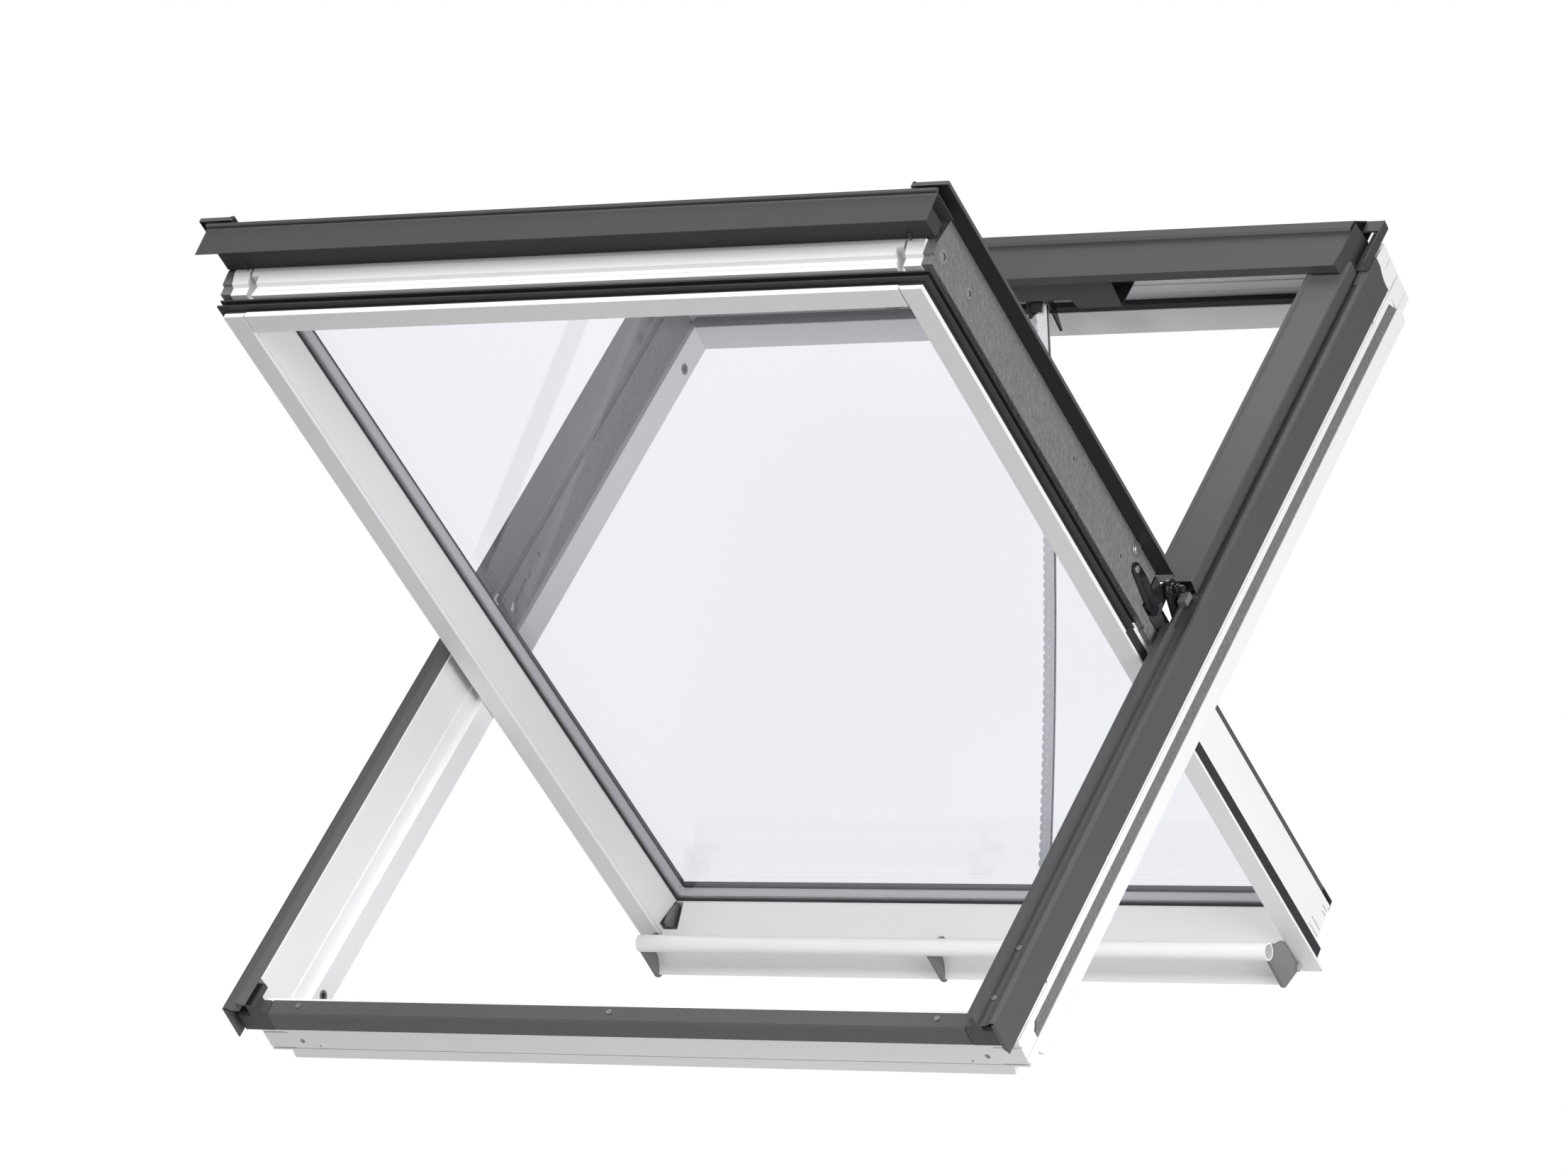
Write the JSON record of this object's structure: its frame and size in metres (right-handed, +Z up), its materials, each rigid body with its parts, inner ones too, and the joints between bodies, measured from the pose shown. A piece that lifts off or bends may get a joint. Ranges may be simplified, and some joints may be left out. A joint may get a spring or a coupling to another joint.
{
  "type": "roof window",
  "caption": "Centre-pivot roof window in its frame, sash turned open on side hinges and held by a push chain, with a ventilation flap and a barrel bolt.",
  "frame": {"origin": "middle of the frame on its room-side plane, where the frame meets the roof opening", "axes": "+X across the window to the right as seen from outside, +Y into the roof, +Z up; the frame slopes up towards +Y"},
  "size_m": [1.157, 1.2038, 1.0989],
  "materials": {
    "white_coating": "smooth satin white polyurethane",
    "flap_white": "satin white lacquered aluminium",
    "glass": "clear",
    "spacer_metal": "bright mill finish",
    "rubber_seal": "matt black",
    "insulation_foam": "rough grey moulded foam",
    "grey_plastic": "fine-textured grey moulding",
    "black_steel": "glossy black",
    "steel": "zinc-plated",
    "dark_aluminium": "fine-textured dark grey powder coat"
  },
  "bodies": {
    "frame": {"frame_side_left": "white_coating", "frame_side_right": "white_coating", "frame_top_rail": "white_coating", "frame_bottom_rail": "white_coating", "frame_side_strips": "insulation_foam", "lining_flanges": "white_coating", "frame_top_seal": "rubber_seal", "frame_wall_pads": "insulation_foam", "frame_bushes": "grey_plastic", "frame_side_cladding_left": "dark_aluminium", "frame_side_cladding_right": "dark_aluminium", "frame_corner_plates": "dark_aluminium", "frame_bottom_cladding": "dark_aluminium", "frame_corner_brackets": "grey_plastic", "upper_cover_left": "dark_aluminium", "upper_cover_right": "dark_aluminium", "top_casing": "dark_aluminium", "top_casing_ends": "dark_aluminium", "cladding_screws": "steel", "frame_hinge_plates": "black_steel", "hinge_screws": "steel", "chain_actuator": "dark_aluminium", "connection_box": "black_steel", "chain_guide": "black_steel"},
    "sash": {"sash_side_left": "white_coating", "sash_side_right": "white_coating", "sash_top_rail": "white_coating", "sash_bottom_rail": "white_coating", "inner_pane": "glass", "outer_pane": "glass", "glass_spacer": "spacer_metal", "glazing_gasket": "rubber_seal", "sash_seal": "rubber_seal", "upper_side_seals": "rubber_seal", "sash_side_pads": "insulation_foam", "sash_pad_plugs": "insulation_foam", "sash_side_cover_left": "dark_aluminium", "sash_side_cover_right": "dark_aluminium", "sash_upper_cladding": "dark_aluminium", "sash_top_cladding": "dark_aluminium", "sash_bottom_cover": "dark_aluminium", "sash_drip_profile": "dark_aluminium", "sash_under_cladding": "dark_aluminium", "sash_hinge_plates": "black_steel", "hinge_stops": "steel", "chain_bracket": "steel", "flap_hinge_rod": "steel"},
    "vent_flap": {"control_bar": "flap_white", "flap_plate": "flap_white", "flap_brackets": "grey_plastic"},
    "bolt": {"barrel_bolt": "grey_plastic"},
    "push_chain": {"chain": "steel"}
  },
  "joints": [
    {"name": "sash_pivot", "type": "hinge", "parent": "frame", "child": "sash", "pos_m": [0, -0.09546, 0.09546], "axis": [1, 0, 0], "range_deg": [0, 84.8]},
    {"name": "chain_swing", "type": "hinge", "parent": "frame", "child": "push_chain", "pos_m": [0.07, 0.38049, 0.5147], "axis": [1, 0, 0], "range_deg": [0, 42.4], "deforming": ["chain"]},
    {"name": "flap_hinge", "type": "hinge", "parent": "sash", "child": "vent_flap", "pos_m": [0, 0.32122, -0.39098], "axis": [1, 0, 0], "range_deg": [0, 25]},
    {"name": "bolt_slide", "type": "slide", "parent": "sash", "child": "bolt", "axis": [-1, 0, 0], "range_m": [0, 0.012]}
  ],
  "couplings": [
    {"joint": "chain_swing", "follows": "sash_pivot", "ratio": 0.5}
  ]
}
